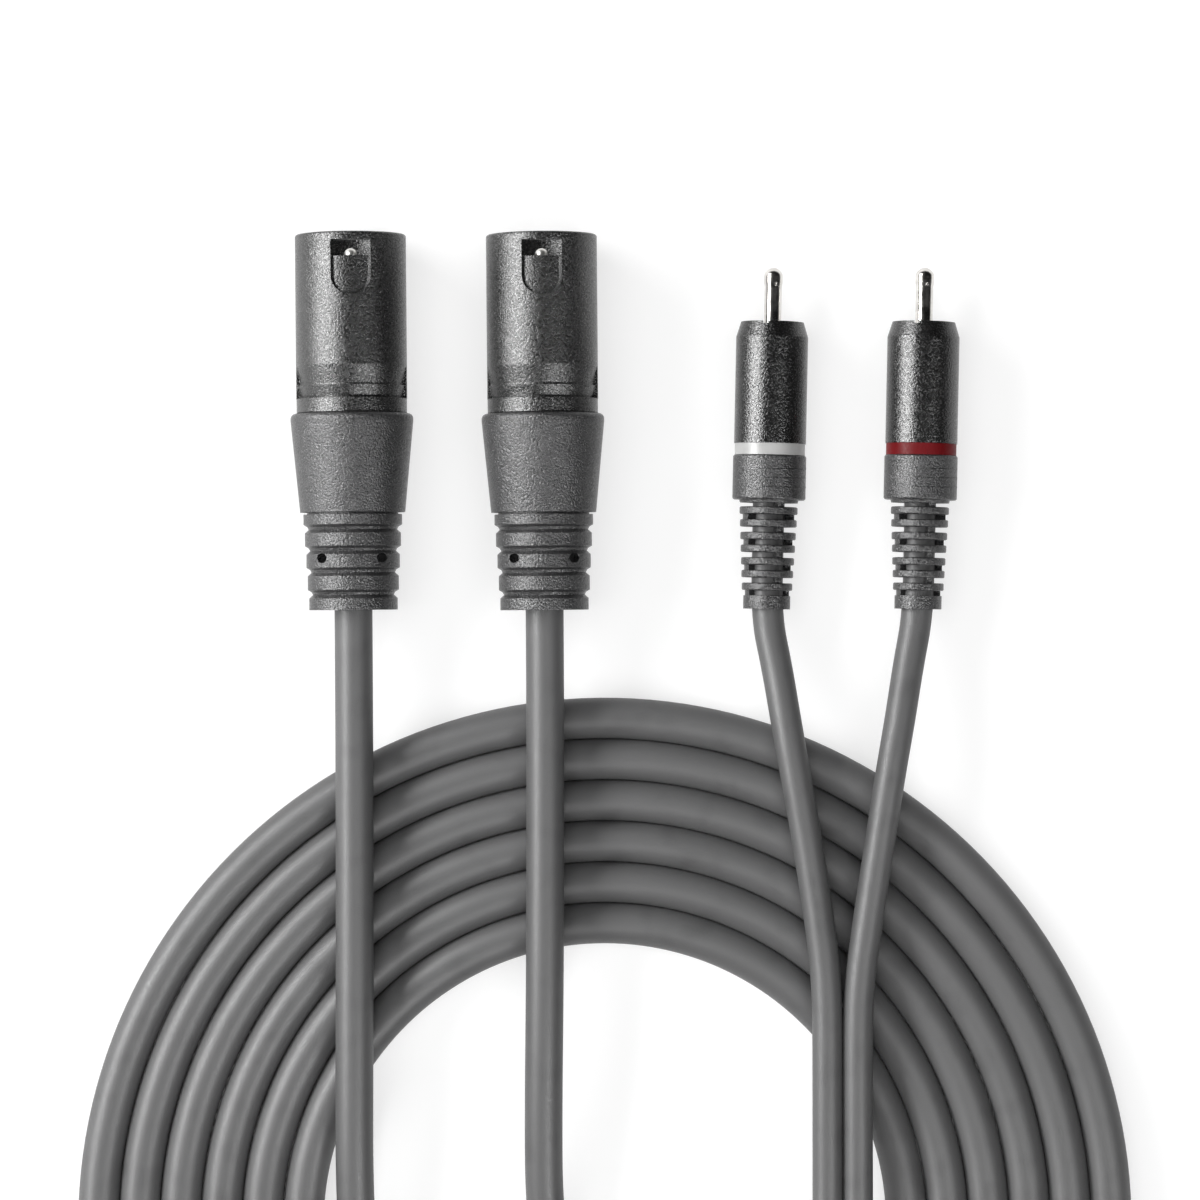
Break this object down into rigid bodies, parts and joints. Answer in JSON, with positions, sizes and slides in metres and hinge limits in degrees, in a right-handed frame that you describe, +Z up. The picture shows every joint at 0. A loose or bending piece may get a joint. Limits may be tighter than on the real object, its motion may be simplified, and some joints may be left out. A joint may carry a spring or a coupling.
{
  "type": "xlr to rca adapter cable coil",
  "caption": "Audio adapter cable with XLR male plugs and RCA male plugs, its cords wound together into one flat round coil that the plugs lie beside.",
  "frame": {"origin": "on the table, under the middle of the four plugs' footprint", "axes": "+Z up from the table, +Y the way the plugs' mouths point, +X from the XLR pair to the RCA pair; the coil lies towards -Y"},
  "size_m": [0.182, 0.2618, 0.021],
  "materials": {
    "xlr_shell": "gloss black over die-cast zinc, fine grain",
    "xlr_insert": "fine matte",
    "xlr_contact": "silver plated, satin",
    "chuck": "natural acetal",
    "bushing": "moulded",
    "boot": "spark-eroded satin grey",
    "wires": "satin",
    "rca_contact": "nickel plated, polished",
    "insulator": "natural polythene",
    "ground_ring": "nickel plated, satin",
    "rca_sleeve": "gloss black",
    "band_white": "gloss white",
    "band_red": "gloss red",
    "relief": "spark-eroded satin grey",
    "cord": "satin grey PVC"
  },
  "bodies": {
    "root": {"xlr_left_shell": "xlr_shell", "xlr_left_insert": "xlr_insert", "xlr_left_pin_1": "xlr_contact", "xlr_left_pin_2": "xlr_contact", "xlr_left_pin_3": "xlr_contact", "xlr_left_wires": "wires", "xlr_left_chuck": "chuck", "xlr_left_bushing": "bushing", "xlr_left_boot": "boot", "xlr_left_tail": "cord", "xlr_right_shell": "xlr_shell", "xlr_right_insert": "xlr_insert", "xlr_right_pin_1": "xlr_contact", "xlr_right_pin_2": "xlr_contact", "xlr_right_pin_3": "xlr_contact", "xlr_right_wires": "wires", "xlr_right_chuck": "chuck", "xlr_right_bushing": "bushing", "xlr_right_boot": "boot", "xlr_right_tail": "cord", "rca_white_pin": "rca_contact", "rca_white_insulator": "insulator", "rca_white_ground_ring": "ground_ring", "rca_white_sleeve": "rca_sleeve", "rca_white_band": "band_white", "rca_white_relief": "relief", "rca_white_wires": "wires", "rca_white_tail": "cord", "rca_red_pin": "rca_contact", "rca_red_insulator": "insulator", "rca_red_ground_ring": "ground_ring", "rca_red_sleeve": "rca_sleeve", "rca_red_band": "band_red", "rca_red_relief": "relief", "rca_red_wires": "wires", "rca_red_tail": "cord", "cable_coil": "cord"}
  },
  "joints": []
}
